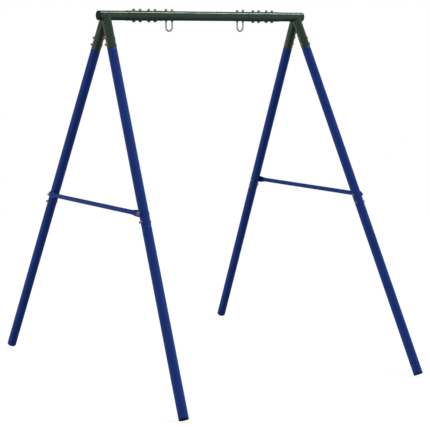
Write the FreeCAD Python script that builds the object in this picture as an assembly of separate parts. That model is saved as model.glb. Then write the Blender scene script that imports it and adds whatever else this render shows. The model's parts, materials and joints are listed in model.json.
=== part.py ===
import FreeCAD, Part
import math
import os

# Free-standing stand for a hanging chair: a green top beam on two bolted A-frames of blue tube.
#
# Frame: X runs along the beam, Y from the front feet to the rear feet, +Z up, and the origin is on
# the floor under the middle of the beam. "left" is -X, "front" is -Y. Units are millimetres.
#
# Each leg has an axis from its apex, on the beam's axis, down to the middle of its foot's end
# face. Places on a leg are distances down that axis from the apex.

Vector = FreeCAD.Vector

# Tube stock
TUBE_OD = 47.6
TUBE_WALL = 1.5
CROSSBAR_OD = 22.2
CROSSBAR_WALL = 1.3
FIT_GAP = 0.2             # radial gap between a tube and the piece that slides into it

# Layout of the frame
BEAM_RISE = 1800.0        # beam axis above the centres of the foot end faces
APEX_X = 585.2            # apexes, from the middle of the beam
FOOT_X = 707.9            # centres of the foot end faces
FOOT_Y = 883.4
BEAM_HALF_LENGTH = 628.0  # to the outer face of the end cap

# Top beam: three tubes, joined inside two coupling sleeves
BEAM_JOINT_X = 364.5
BEAM_JOINT_GAP = 1.0
SLEEVE_LENGTH = 206.0
SLEEVE_WALL = 1.0
SLEEVE_RIM_HEIGHT = 0.5
SLEEVE_RIM_LENGTH = 2.5
BEAM_BOLT_X = (302.0, 339.0, 389.0, 426.0)
HANGER_X = 219.3          # middle of each hanger U-bolt
HANGER_SPACING = 36.6     # between the two legs of a U-bolt
HANGER_DROP = 75.4        # from the beam axis to the middle of the wire at the bottom of the loop

# Places down the leg axis
SOCKET_START = 3.0
SOCKET_END = 183.0
SOCKET_BOLTS = (124.0, 160.0)
SWAGE_LENGTH = 87.0       # reduced top end of a leg tube, inside the tube above it
LEG_JOINT = 1092.0
CROSSBAR_BOLT = 1029.0
LEG_JOINT_BOLT = 1071.0
STAKE_HOLE_RISE = 65.0    # stake hole above the foot end face
STAKE_HOLE_DIA = 9.0

# Shoulder where a swaged end grows to the full tube
SHOULDER_GAP = 1.5
SHOULDER_LENGTH = 5.5

# Crossbar with pinched ends
PINCH_THICKNESS = 2.6
PINCH_REACH = 22.0        # flat stretch from the bolt towards the middle
PINCH_TAPER = 50.0        # from the flat stretch to the round tube

# Plastic caps
FOOT_FLANGE = 6.0
FOOT_EDGE_RADIUS = 3.0
BEAM_CAP_FLANGE = 4.0
BEAM_CAP_EDGE_RADIUS = 1.5
PLUG_LENGTH = 24.0
PLUG_WALL = 2.2
PLUG_GAP = 0.1

# M8 hardware
BOLT_DIA = 8.0
HOLE_DIA = 8.8
NECK_SIDE = 8.0
NECK_HOLE_SIDE = 8.6
NECK_LENGTH = 4.5
HEAD_DIA = 18.0
BEAM_HEAD_HEIGHT = 8.0         # domed heads under the beam
LEG_HEAD_HEIGHT = 4.6          # domed heads on the legs
HEAD_RIM = 1.2
LONG_BOLT = 65.0
SHORT_BOLT = 60.0
TIP_CHAMFER = 1.4
NUT_FLATS = 13.0
NUT_HEIGHT = 6.5
JAM_NUT_HEIGHT = 4.0
NUT_BORE = 8.2
WASHER_OD = 16.0
WASHER_ID = 8.8
WASHER_THICKNESS = 1.6
THREAD_SHOWING = 5.0      # U-bolt thread past its nut

TUBE_R = TUBE_OD / 2
TUBE_BORE_R = TUBE_R - TUBE_WALL
SWAGE_R = TUBE_BORE_R - FIT_GAP
SLEEVE_BORE_R = TUBE_R + FIT_GAP
SLEEVE_R = SLEEVE_BORE_R + SLEEVE_WALL

LEFT, RIGHT = -1, 1
FRONT, REAR = -1, 1
SIDES = (("left", LEFT), ("right", RIGHT))
ENDS = (("front", FRONT), ("rear", REAR))

LEG_DROP = Vector(FOOT_X - APEX_X, FOOT_Y, -BEAM_RISE)
LEG_LENGTH = LEG_DROP.Length

# The foot end face is square to the leg, and the rounded edge of its cap rests on the floor.
LEG_COS = BEAM_RISE / LEG_LENGTH
LEG_SIN = math.sqrt(1 - LEG_COS ** 2)
FOOT_CENTRE_Z = (TUBE_R - FOOT_EDGE_RADIUS) * LEG_SIN + FOOT_EDGE_RADIUS * (1 - LEG_COS)
BEAM_Z = FOOT_CENTRE_Z + BEAM_RISE

ALONG_X = Vector(1, 0, 0)
ALONG_Y = Vector(0, 1, 0)
UP = Vector(0, 0, 1)


def frame_at(origin, x_axis, z_axis):
    """Placement with its local X and Z along two square directions."""
    y_axis = z_axis.cross(x_axis)
    return FreeCAD.Placement(origin, FreeCAD.Rotation(x_axis, y_axis, z_axis, "ZXY"))


def leg_frame(side, end):
    """Local +Z runs down the leg from its apex, and local +X points out of the A-frame."""
    down = Vector(side * LEG_DROP.x, end * LEG_DROP.y, LEG_DROP.z).normalize()
    return frame_at(Vector(side * APEX_X, 0, BEAM_Z), outward(side), down)


def outward(side):
    """Normal of an A-frame's plane, away from the middle of the stand."""
    return Vector(side * BEAM_RISE, 0, FOOT_X - APEX_X).normalize()


def placed(shape, placement):
    result = shape.copy()
    result.transformShape(placement.toMatrix(), True)
    return result


def cylinder(radius, low, high, axis=UP):
    """Solid cylinder about a local axis through the origin, from low to high along it."""
    return Part.makeCylinder(radius, high - low, axis * low, axis)


def ring(outer_r, inner_r, low, high, axis=UP):
    return cylinder(outer_r, low, high, axis).cut(cylinder(inner_r, low - 1, high + 1, axis))


def turned(points):
    """Solid turned about local Z from (radius, height) points."""
    corners = [Vector(radius, 0, height) for radius, height in points]
    face = Part.Face(Part.makePolygon(corners + corners[:1]))
    return face.revolve(Vector(0, 0, 0), UP, 360)


def bolt_hole(at, axis):
    """Cutter for one carriage bolt: round on the nut's side, square on the head's side."""
    reach = TUBE_OD
    round_part = Part.makeCylinder(HOLE_DIA / 2, reach, at, axis)
    half = NECK_HOLE_SIDE / 2
    square_part = Part.makeBox(NECK_HOLE_SIDE, NECK_HOLE_SIDE, reach, Vector(-half, -half, -reach))
    side_axis = ALONG_Y if abs(axis.z) < 0.5 else ALONG_X
    return round_part.fuse(placed(square_part, frame_at(at, side_axis, axis)))


def through_hole(diameter, at, axis):
    return Part.makeCylinder(diameter / 2, 2 * TUBE_OD, at - axis * TUBE_OD, axis)


def end_plug(flange, edge_radius):
    """Hollow plug: its outer face is at z = 0 and the plug runs up local +Z into the tube."""
    body = cylinder(TUBE_R, 0, flange)
    rim = [edge for edge in body.Edges if len(edge.Vertexes) == 1 and edge.BoundBox.ZMax < flange / 2]
    body = body.makeFillet(edge_radius, rim)
    plug_r = TUBE_BORE_R - PLUG_GAP
    body = body.fuse(cylinder(plug_r, flange / 2, flange + PLUG_LENGTH))
    return body.cut(cylinder(plug_r - PLUG_WALL, flange, flange + PLUG_LENGTH + 1)).removeSplitter()


def carriage_bolt(length, head_height):
    """Domed head below z = 0, square neck and shank up local +Z."""
    dome_height = head_height - HEAD_RIM
    dome_r = ((HEAD_DIA / 2) ** 2 + dome_height ** 2) / (2 * dome_height)
    dome = Part.makeSphere(dome_r, Vector(0, 0, -head_height + dome_r))
    head = cylinder(HEAD_DIA / 2, -head_height, 0).common(dome)
    neck = Part.makeBox(NECK_SIDE, NECK_SIDE, NECK_LENGTH, Vector(-NECK_SIDE / 2, -NECK_SIDE / 2, 0))
    shank_r = BOLT_DIA / 2
    shank = turned([(0, -HEAD_RIM / 2), (shank_r, -HEAD_RIM / 2), (shank_r, length - TIP_CHAMFER),
                    (shank_r - TIP_CHAMFER, length), (0, length)])
    return head.fuse([neck, shank]).removeSplitter()


def hex_nut(height):
    """Hexagon nut standing on z = 0, with its corners turned off at both faces."""
    corner_r = NUT_FLATS / math.sqrt(3)
    turns = [math.radians(60 * i) for i in range(7)]
    corners = [Vector(corner_r * math.cos(turn), corner_r * math.sin(turn), 0) for turn in turns]
    prism = Part.Face(Part.makePolygon(corners)).extrude(UP * height)
    trim = 0.6
    bevel = turned([(0, 0), (corner_r - trim, 0), (corner_r, trim), (corner_r, height - trim),
                    (corner_r - trim, height), (0, height)])
    return prism.common(bevel).cut(cylinder(NUT_BORE / 2, -1, height + 1))


def washer():
    return ring(WASHER_OD / 2, WASHER_ID / 2, 0, WASHER_THICKNESS)


def bolted(seats, grip, length, head_height):
    """Bolts, nuts and washers: each seat has its origin under a head and local Z along the shank."""
    nut_seat = grip + WASHER_THICKNESS
    bolts = [placed(carriage_bolt(length, head_height), seat) for seat in seats]
    nuts = [placed(hex_nut(NUT_HEIGHT).translated(UP * nut_seat), seat) for seat in seats]
    washers = [placed(washer().translated(UP * grip), seat) for seat in seats]
    return bolts, nuts, washers


def leg_seat(side, end, distance):
    """Seat of a bolt across a leg, with its head on the inner face of the A-frame."""
    frame = leg_frame(side, end)
    across_leg = frame_at(Vector(-TUBE_R, 0, distance), ALONG_Y, ALONG_X)
    return frame.multiply(across_leg)


def beam_seat(x):
    """Seat of a bolt up through a coupling sleeve."""
    return frame_at(Vector(x, 0, BEAM_Z - SLEEVE_R), ALONG_X, UP)


def leg_tube(top_joint, bottom, holes, stake_hole=None):
    """Leg tube in the leg frame: swaged top end, shoulder under the joint, then full size."""
    top = top_joint - SWAGE_LENGTH
    neck = top_joint + SHOULDER_GAP
    full = neck + SHOULDER_LENGTH
    swage_bore_r = SWAGE_R - TUBE_WALL
    tube = turned([(swage_bore_r, top), (SWAGE_R, top), (SWAGE_R, neck), (TUBE_R, full), (TUBE_R, bottom),
                   (TUBE_BORE_R, bottom), (TUBE_BORE_R, full), (swage_bore_r, neck)])
    for distance in holes:
        tube = tube.cut(bolt_hole(UP * distance, ALONG_X))
    if stake_hole is not None:
        tube = tube.cut(through_hole(STAKE_HOLE_DIA, UP * stake_hole, ALONG_X))
    return tube


def beam_parts():
    """Beam tubes, sleeves and end caps, in the beam's own frame with its axis on X."""
    inner_end = BEAM_JOINT_X - BEAM_JOINT_GAP / 2
    outer_end = BEAM_JOINT_X + BEAM_JOINT_GAP / 2
    cap_seat = BEAM_HALF_LENGTH - BEAM_CAP_FLANGE
    middle = ring(TUBE_R, TUBE_BORE_R, -inner_end, inner_end, ALONG_X)
    nodes = {}
    for name, side in SIDES:
        low, high = sorted((side * outer_end, side * cap_seat))
        end_tube = ring(TUBE_R, TUBE_BORE_R, low, high, ALONG_X)
        centre = side * BEAM_JOINT_X
        half = SLEEVE_LENGTH / 2
        sleeve = cylinder(SLEEVE_R, centre - half, centre + half, ALONG_X)
        for low in (centre - half, centre + half - SLEEVE_RIM_LENGTH):
            rim = cylinder(SLEEVE_R + SLEEVE_RIM_HEIGHT, low, low + SLEEVE_RIM_LENGTH, ALONG_X)
            sleeve = sleeve.fuse(rim)
        sleeve = sleeve.cut(cylinder(SLEEVE_BORE_R, centre - half - 1, centre + half + 1, ALONG_X))
        for x in BEAM_BOLT_X:
            hole = bolt_hole(ALONG_X * side * x, UP)
            sleeve = sleeve.cut(hole)
            end_tube = end_tube.cut(hole)
            middle = middle.cut(hole)
        for x in hanger_leg_places():
            middle = middle.cut(through_hole(HOLE_DIA, ALONG_X * side * x, UP))
        cap_frame = frame_at(ALONG_X * side * BEAM_HALF_LENGTH, ALONG_Y, ALONG_X * -side)
        nodes[name + "_beam_tube"] = end_tube
        nodes[name + "_coupling_sleeve"] = sleeve
        nodes[name + "_beam_end_cap"] = placed(end_plug(BEAM_CAP_FLANGE, BEAM_CAP_EDGE_RADIUS), cap_frame)
    nodes["middle_beam_tube"] = middle
    return nodes


def hanger_leg_places():
    return HANGER_X - HANGER_SPACING / 2, HANGER_X + HANGER_SPACING / 2


def hanger_parts(name, side):
    """U-bolt through the beam, held by a nut above and a jam nut below each leg."""
    bend_r = HANGER_SPACING / 2
    bend_z = bend_r - HANGER_DROP
    top = TUBE_R + WASHER_THICKNESS + NUT_HEIGHT + THREAD_SHOWING
    centre = ALONG_X * side * HANGER_X
    section = Part.Face(Part.Wire(Part.makeCircle(BOLT_DIA / 2, centre + Vector(bend_r, 0, bend_z), UP)))
    u_bolt = section.revolve(centre + UP * bend_z, ALONG_Y, 180)
    top_nuts, jam_nuts, washers = [], [], []
    for x in hanger_leg_places():
        foot = ALONG_X * side * x
        shank_r = BOLT_DIA / 2
        shank = turned([(0, bend_z), (shank_r, bend_z), (shank_r, top - TIP_CHAMFER),
                        (shank_r - TIP_CHAMFER, top), (0, top)])
        u_bolt = u_bolt.fuse(shank.translated(foot))
        washers.append(washer().translated(foot + UP * TUBE_R))
        washers.append(washer().translated(foot - UP * (TUBE_R + WASHER_THICKNESS)))
        top_nuts.append(hex_nut(NUT_HEIGHT).translated(foot + UP * (TUBE_R + WASHER_THICKNESS)))
        jam_seat = TUBE_R + WASHER_THICKNESS + JAM_NUT_HEIGHT
        jam_nuts.append(hex_nut(JAM_NUT_HEIGHT).translated(foot - UP * jam_seat))
    return {name + "_hanger_u_bolt": u_bolt.removeSplitter(),
            name + "_hanger_nuts": Part.makeCompound(top_nuts),
            name + "_hanger_jam_nuts": Part.makeCompound(jam_nuts),
            name + "_hanger_washers": Part.makeCompound(washers)}


def leg_socket(side, end):
    """Tube stub welded under the beam: coped round the beam and mitred against its twin."""
    stub = placed(ring(TUBE_R, TUBE_BORE_R, SOCKET_START, SOCKET_END), leg_frame(side, end))
    beam = Part.makeCylinder(TUBE_R, 4 * TUBE_OD, Vector(side * APEX_X - 2 * TUBE_OD, 0, BEAM_Z), ALONG_X)
    size = 2 * SOCKET_END
    far_side = Part.makeBox(2 * size, size, 2 * size, Vector(-size, 0, -size))
    if end > 0:
        far_side = far_side.translated(ALONG_Y * -size)
    far_side = far_side.translated(Vector(side * APEX_X, 0, BEAM_Z))
    socket = stub.cut(beam).cut(far_side)
    socket = max(socket.Solids, key=lambda solid: solid.Volume)
    for distance in SOCKET_BOLTS:
        socket = socket.cut(placed(bolt_hole(UP * distance, ALONG_X), leg_frame(side, end)))
    return socket


def stadium(thickness, width, y):
    """Flat-tube section at y: long edges along local Z, half-round ends."""
    r = thickness / 2
    straight = width / 2 - r
    corners = [Vector(r, y, -straight), Vector(r, y, straight),
               Vector(-r, y, straight), Vector(-r, y, -straight)]
    edges = [Part.LineSegment(corners[0], corners[1]).toShape(),
             Part.Arc(corners[1], Vector(0, y, width / 2), corners[2]).toShape(),
             Part.LineSegment(corners[2], corners[3]).toShape(),
             Part.Arc(corners[3], Vector(0, y, -width / 2), corners[0]).toShape()]
    return Part.Wire(edges)


def quartered_circle(radius, y):
    """Round section at y in four arcs that match the four edges of a stadium."""
    def point(degrees):
        turn = math.radians(degrees)
        return Vector(radius * math.cos(turn), y, radius * math.sin(turn))
    edges = [Part.Arc(point(start), point(start + 45), point(start + 90)).toShape()
             for start in (-45, 45, 135, 225)]
    return Part.Wire(edges)


def crossbar(side):
    """Round tube whose two ends are pinched flat and bolted to the outer faces of a pair of legs."""
    bolt_centre = leg_frame(side, REAR).multVec(UP * CROSSBAR_BOLT)
    bolt_y = bolt_centre.y
    bar_r = CROSSBAR_OD / 2
    bore_r = bar_r - CROSSBAR_WALL
    flat_width = PINCH_THICKNESS + math.pi * (bar_r - PINCH_THICKNESS / 2)
    tip = bolt_y + flat_width / 2
    flat_end = bolt_y - PINCH_REACH
    round_end = flat_end - PINCH_TAPER
    bar = cylinder(bar_r, -round_end, round_end, ALONG_Y)
    bore = cylinder(bore_r, -round_end, round_end, ALONG_Y)
    slit = 0.3
    slit_width = slit + math.pi * (bore_r - slit / 2)
    for end in (FRONT, REAR):
        sections = [stadium(PINCH_THICKNESS, flat_width, end * flat_end),
                    quartered_circle(bar_r, end * round_end)]
        taper = Part.makeLoft(sections, True, True)
        flat = Part.Face(stadium(PINCH_THICKNESS, flat_width, end * flat_end))
        flat = flat.extrude(ALONG_Y * end * (tip - flat_end))
        tip_centre = Vector(-2 * bar_r, end * bolt_y, 0)
        tip_round = Part.makeCylinder(flat_width / 2, 4 * bar_r, tip_centre, ALONG_X)
        corner = Vector(-2 * bar_r, 0, -flat_width / 2)
        tip_square = Part.makeBox(4 * bar_r, bolt_y, flat_width, corner)
        if end < 0:
            tip_square = tip_square.translated(ALONG_Y * -bolt_y)
        flat = flat.common(tip_round.fuse(tip_square))
        bar = bar.fuse([taper, flat])
        bore = bore.fuse(Part.makeLoft([stadium(slit, slit_width, end * flat_end),
                                        quartered_circle(bore_r, end * round_end)], True, True))
    bar = bar.cut(bore)
    for end in (FRONT, REAR):
        bar = bar.cut(through_hole(HOLE_DIA, ALONG_Y * end * bolt_y, ALONG_X))
    across = outward(side)
    seat = Vector(bolt_centre.x, 0, bolt_centre.z) + across * (TUBE_R + PINCH_THICKNESS / 2)
    return placed(bar, frame_at(seat, across, across.cross(ALONG_Y)))


def build():
    nodes = {}
    for name, shape in beam_parts().items():
        nodes[name] = shape.translated(UP * BEAM_Z)
    foot_hole = LEG_LENGTH - STAKE_HOLE_RISE
    tube_end = LEG_LENGTH - FOOT_FLANGE
    upper_leg = leg_tube(SOCKET_END, LEG_JOINT, SOCKET_BOLTS + (CROSSBAR_BOLT, LEG_JOINT_BOLT))
    lower_leg = leg_tube(LEG_JOINT, tube_end, (CROSSBAR_BOLT, LEG_JOINT_BOLT), foot_hole)
    foot_cap = end_plug(FOOT_FLANGE, FOOT_EDGE_RADIUS)
    foot_cap = placed(foot_cap, frame_at(UP * LEG_LENGTH, ALONG_X, -UP))
    for side_name, side in SIDES:
        for name, shape in hanger_parts(side_name, side).items():
            nodes[name] = shape.translated(UP * BEAM_Z)
        for end_name, end in ENDS:
            corner = side_name + "_" + end_name
            frame = leg_frame(side, end)
            nodes[corner + "_leg_socket"] = leg_socket(side, end)
            nodes[corner + "_upper_leg"] = placed(upper_leg, frame)
            nodes[corner + "_lower_leg"] = placed(lower_leg, frame)
            nodes[corner + "_foot_cap"] = placed(foot_cap, frame)
        nodes[side_name + "_crossbar"] = crossbar(side)
        beam_seats = [beam_seat(side * x) for x in BEAM_BOLT_X]
        socket_seats = [leg_seat(side, end, distance)
                        for end in (FRONT, REAR) for distance in SOCKET_BOLTS]
        crossbar_seats = [leg_seat(side, end, CROSSBAR_BOLT) for end in (FRONT, REAR)]
        joint_seats = [leg_seat(side, end, LEG_JOINT_BOLT) for end in (FRONT, REAR)]
        lap = TUBE_OD + PINCH_THICKNESS
        bolt_groups = (("beam_joint", beam_seats, 2 * SLEEVE_R, SHORT_BOLT, BEAM_HEAD_HEIGHT),
                       ("socket", socket_seats, TUBE_OD, SHORT_BOLT, LEG_HEAD_HEIGHT),
                       ("crossbar", crossbar_seats, lap, LONG_BOLT, LEG_HEAD_HEIGHT),
                       ("leg_joint", joint_seats, TUBE_OD, SHORT_BOLT, LEG_HEAD_HEIGHT))
        for group, seats, grip, length, head_height in bolt_groups:
            hardware = bolted(seats, grip, length, head_height)
            for kind, shapes in zip(("bolts", "nuts", "washers"), hardware):
                nodes[side_name + "_" + group + "_" + kind] = Part.makeCompound(shapes)
    return nodes


def main():
    os.makedirs("parts", exist_ok=True)
    for name, shape in build().items():
        shape.exportStep("parts/" + name + ".step")
        print(name, len(shape.Solids), "solids", round(shape.Volume), "mm3", shape.isValid())


main()
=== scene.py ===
import json
import math

import bmesh
import bpy
import numpy as np
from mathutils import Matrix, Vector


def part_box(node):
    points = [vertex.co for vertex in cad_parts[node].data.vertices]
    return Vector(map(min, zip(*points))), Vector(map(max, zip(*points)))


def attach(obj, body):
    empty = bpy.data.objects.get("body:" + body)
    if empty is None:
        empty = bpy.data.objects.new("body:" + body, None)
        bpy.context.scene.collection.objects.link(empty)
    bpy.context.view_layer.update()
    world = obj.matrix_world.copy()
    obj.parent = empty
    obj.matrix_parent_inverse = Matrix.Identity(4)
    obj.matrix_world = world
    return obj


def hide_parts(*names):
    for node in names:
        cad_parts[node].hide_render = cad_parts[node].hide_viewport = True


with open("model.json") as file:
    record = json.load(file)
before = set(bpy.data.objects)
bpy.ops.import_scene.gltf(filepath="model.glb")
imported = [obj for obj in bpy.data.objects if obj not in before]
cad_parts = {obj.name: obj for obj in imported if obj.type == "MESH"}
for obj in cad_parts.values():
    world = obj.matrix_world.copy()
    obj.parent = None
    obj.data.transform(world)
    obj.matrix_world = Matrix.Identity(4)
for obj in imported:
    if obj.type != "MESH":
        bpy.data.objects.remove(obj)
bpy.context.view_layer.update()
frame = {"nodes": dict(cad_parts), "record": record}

# The look of a hanging-chair stand: powder-coated tube, zinc-plated hardware and black plastic
# caps, each built over its CAD node. Lengths are metres and angles degrees. Places come from the
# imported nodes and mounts. The sizes below are details that a node's box doesn't give.

TUBE_WALL = 0.0015
SWAGE_STEP = 0.0017            # a swaged end is this much smaller in radius than its tube
SHOULDER_GAP = 0.0015          # from the joint down to the shoulder of a swaged tube
SHOULDER_LENGTH = 0.0055
SHOULDER_ROUND = 0.004
EDGE_ROUND = 0.0004            # rounding of cut tube ends
SOCKET_ROW = 0.075             # first full row of a leg socket's mesh, from the apex
SOCKET_LIP = 0.004             # last part of a leg socket's wall, up to its rounded end

SLEEVE_BORE_GAP = 0.0002
SLEEVE_BORE_ROUND = 0.0003
RIM_LENGTH = 0.0025
RIM_HEIGHT = 0.0005
RIM_SLOPE = 0.0008
RIM_ROUND = 0.0006

BOLT_R = 0.004
HOLE_R = 0.0044
BAR_CUTTER_HALF = 0.010         # half length of the cutter for a crossbar's bolt hole
THREAD_PITCH = 0.00125
THREAD_DEPTH = 0.00068
THREAD_ROOT_GAP = 0.0002       # the chamfer's start is this much below the thread's root
THREAD_END_GAP = 0.0003        # the thread's rows stop this far before the tip
THREAD_STEEPNESS = 1.25        # flanks of the thread, steeper than a plain zigzag
THREAD_CREST = 0.1             # share of the depth cut off at the crest, which leaves it flat
THREAD_SHOWING = 0.017         # threaded length at the end of a bolt
SHANK_GAP = 0.0002             # a plain shank is this much smaller in radius than its thread
SHANK_START = 0.001            # first row of a shank, after the neck or before a U-bolt's thread
SHANK_RUN_OUT = 0.002          # from a bolt's last plain row to its thread
HEAD_R = 0.009
HEAD_RIM = 0.0012              # straight rim under a head's dome
HEAD_EDGE = 0.0003
HEAD_ROWS = (0.06, 0.97)       # first and last row of the dome, as shares of its arc
HEAD_BULGE = (0.00006, 0.0001) # last dome row: inside the rim's radius, and before the rim
HEAD_FLAT_R = 0.0062           # a ring of the mesh in the head's flat underside
ON_HEAD = 0.95                 # CAD points beyond this share of the head's radius are on its rim
NECK_HALF = 0.004
NECK_LENGTH = 0.0045
NECK_ROUND = 0.0006
NUT_FLATS = 0.013
NUT_BORE_R = 0.0041
NUT_SINK = 0.0005              # countersink of a nut's bore
NUT_SOFT = 0.00015             # softened edges of a nut
NUT_CORNER = 0.988             # share of the full corner radius that a nut keeps
NUT_CROWN = 0.95               # radius of a nut's flat crown, as a share of half its flats
NUT_CHAMFER = 30
WASHER_R = 0.008
WASHER_HOLE_R = 0.0044
WASHER_ROUNDS = (0.0004, 0.0006, 0.0003, 0.0002) # outer edges near and far, bore's far and near
U_BOLT_THREAD = 0.030          # threaded length of a U-bolt's leg, beyond the beam's height

PINCH_HALF = 0.0013            # half thickness of a crossbar's flat ends
PINCH_REACH = 0.022
PINCH_TAPER = 0.050
PINCH_BOLT_ROW = 0.010         # a row of the mesh inwards of the bolt
PINCH_LAST_ROW = 0.004         # a row outwards of the taper's start
PINCH_ROUND_ROW = 0.010        # the first round row after the taper
PINCH_TIP = 86                 # where the rounded tip's mesh starts, of the full 90 degrees
PINCH_LEAST_WIDTH = 0.6        # least half width of a section, as a share of its half thickness

FOOT_FLANGE = 0.006
FOOT_EDGE_ROUND = 0.003
BEAM_CAP_FLANGE = 0.004
BEAM_CAP_ROUND = 0.0015
FLANGE_ROUND = 0.0004
# A cap's face from its middle out, as (share of the tube's radius, depth, rounding): dimple, groove.
CAP_FACE = ((0, 0.0003, 0), (0.12, 0.0003, 0.0002), (0.14, 0, 0.0002), (0.55, 0, 0.0003),
            (0.57, 0.0005, 0.0003), (0.64, 0.0005, 0.0003), (0.66, 0, 0.0003))
PLUG_LENGTH = 0.024
PLUG_WALL = 0.0022
PLUG_GAP = 0.0001
PLUG_ROUND = 0.0006
PLUG_ROOT_ROUND = 0.0002
PLUG_FLOOR_ROUND = 0.001

WELD_R = 0.0022
WELD_RIPPLE = 0.0028           # spacing of the ripples along a weld bead
WELD_VALLEY = 0.86             # share of the bead's radius between ripples
WELD_CREST = 0.16              # height of a ripple, as a share of the bead's radius
WELD_TAPER = 0.003             # length over which a bead's ends shrink
WELD_TIP = 0.0004
WELD_STEP = 0.0005             # spacing of a bead's rings

TUBE_SIDES = 128
CUTTER_SIDES = 48
THREAD_SIDES = 32
NUT_SIDES = 72
WASHER_SIDES = 64
BAR_SIDES = 96
WELD_SIDES = 12
FLOOR_SIDES = 96
ROWS_PER_PITCH = 8
DOME_ROWS = 9
TIP_ROWS = 16
TAPER_ROWS = 18
HALF_BAR_ROWS = 6
U_BEND_ROWS = 41
WELD_POINTS = 361              # places round a leg where a weld's path is worked out
HOLE_MARGINS = (-0.010, -0.006, 0.006, 0.010)     # rows of a tube's mesh on both sides of a hole
ARC_STEPS = 4
CAP_ARC_STEPS = 6
WASHER_ARC_STEPS = 3
SUPPORT = 0.0008               # rows beside a rounding are this far from it
SLEEVE_SUPPORT = 0.0004
CAP_SUPPORT = 0.0005
WASHER_SUPPORT = 0.0003
ROW_CLEARANCE = 1e-4           # extra rows keep this far from a profile's own points

TUBE_SHARP = 32                # edges sharper than this many degrees stay sharp when shaded
BAR_SHARP = 40
HARDWARE_SHARP = 28
MERGE = 2e-7                   # vertices closer than this are one
DRILLED_MERGE = 4e-6           # the same after holes are cut, which leaves slivers

CAMERA_AT = (-3.792, -5.662, 1.7186)
CAMERA_YAW = 34.236            # from +Y towards +X
CAMERA_PITCH = -7.843
CAMERA_LENS = 109.89           # in mm, on a sensor of full frame width
CAMERA_SENSOR = 36.0
CAMERA_RANGE = 200.0

# Soft light panels round the stand, as (azimuth from +Y towards +X, elevation, radiance).
PANELS = ((95, 15, 0.70), (95, -20, 0.70),        # right side, even from top to bottom
          (155, 15, 0.50), (155, -20, 0.40),      # front right, a little weaker
          (215, 15, 0.15), (215, -20, 0.20),      # dim behind the camera, for deep colours
          (215, 50, 0.30),                        # above the camera, on the faces of the front legs
          (275, 15, 0.25), (275, -20, 0.90),      # left, bright low down under the tubes
          (335, 15, 0.75), (335, -20, 0.65))      # back left, to draw the tubes' left edges
PANEL_FOCUS = 7.0              # higher makes the panels narrower
AMBIENT = 0.004
# Overhead strips as (middle, half reach, radiance), measured from overhead towards +X.
STRIPS = ((30, 19, 21.0), (-35, 15, 5.0))
STRIP_TILT = 6.5               # from overhead towards -Y
STRIP_HALF = 5.2               # across
STRIP_SOFT = 1.5
STRIP_END_SOFT = 5.0
FLOOR_GLOW = 0.90
FLOOR_COLOUR = 0.18
FLOOR_RADIUS = 6.0

SIDES = {"left": -1, "right": 1}
ENDS = {"front": -1, "rear": 1}

MOUNTS = {mount["name"]: mount for mount in frame["record"]["mounts"]}
UP = np.array([0.0, 0.0, 1.0])
ALONG_X = np.array([1.0, 0.0, 0.0])
ALONG_Y = np.array([0.0, 1.0, 0.0])


# ------------------------ frame of the CAD model

class Axes:
    """A local frame in the model: an origin with local X and Z directions."""

    def __init__(self, origin, x_axis, z_axis):
        self.origin = np.array(origin, float)
        self.z = np.array(z_axis, float) / np.linalg.norm(z_axis)
        self.x = np.array(x_axis, float) / np.linalg.norm(x_axis)
        self.y = np.cross(self.z, self.x)

    def out(self, points):
        """Local points in model coordinates."""
        points = np.asarray(points, float)
        x, y, z = (points[..., k:k + 1] for k in range(3))
        return self.origin + x * self.x + y * self.y + z * self.z

    def back(self, points):
        """Model points in local coordinates."""
        offset = np.asarray(points, float) - self.origin
        return np.stack([offset @ self.x, offset @ self.y, offset @ self.z], axis=-1)

    def moved(self, local_point):
        """The same directions from another origin, given in local coordinates."""
        return Axes(self.out(local_point), self.x, self.z)


def node_points(node):
    """All vertices of a CAD node, in model coordinates."""
    vertices = frame["nodes"][node].data.vertices
    points = np.empty(len(vertices) * 3, np.float32)
    vertices.foreach_get("co", points)
    return points.reshape(-1, 3).astype(float)


def node_solids(node):
    """Vertices of each separate solid of a CAD node, as arrays of points."""
    mesh = frame["nodes"][node].data
    points = node_points(node)
    keys, owner = np.unique(np.round(points, 6), axis=0, return_inverse=True)
    owner = owner.reshape(-1)
    parent = list(range(len(keys)))

    def root(i):
        while parent[i] != i:
            parent[i] = parent[parent[i]]
            i = parent[i]
        return i

    for edge in mesh.edges:
        a, b = root(owner[edge.vertices[0]]), root(owner[edge.vertices[1]])
        parent[a] = b
    groups = {}
    for i, key in enumerate(keys):
        groups.setdefault(root(i), []).append(key)
    return [np.array(group) for _, group in sorted(groups.items())]


def box_middle(node):
    """Middle of a node's box, and half its size."""
    low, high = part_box(node)
    return np.array((low + high) / 2), np.array(high - low) / 2


BEAM_MIDDLE, BEAM_HALF = box_middle("middle_beam_tube")
BEAM_Z = BEAM_MIDDLE[2]
TUBE_R = BEAM_HALF[2]
TUBE_BORE_R = TUBE_R - TUBE_WALL


def leg_axes(side_name, end_name):
    """Local Z down the leg from its apex on the beam's axis, local X out of the A-frame."""
    hole = MOUNTS[side_name + "_" + end_name + "_stake_hole"]
    at = np.array(hole["pos_m"])
    outward = np.array(hole["axis"])
    apex_x = at[0] - outward[2] / outward[0] * (BEAM_Z - at[2])
    apex = np.array([apex_x, 0.0, BEAM_Z])
    return Axes(apex, outward, at - apex)


def span(node, axes):
    """Lowest and highest local Z of a node."""
    heights = axes.back(node_points(node))[:, 2]
    return heights.min(), heights.max()


# ------------------------ mesh building

def new_piece(name, parts, material, nodes, sharp=TUBE_SHARP):
    """One object from (vertices, faces) parts, shown instead of the given CAD nodes."""
    mesh = mesh_of(name, parts, sharp)
    mesh.materials.append(material)
    piece = in_scene(name, mesh)
    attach(piece, "root")
    if nodes:
        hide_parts(*nodes)
    return piece


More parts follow.
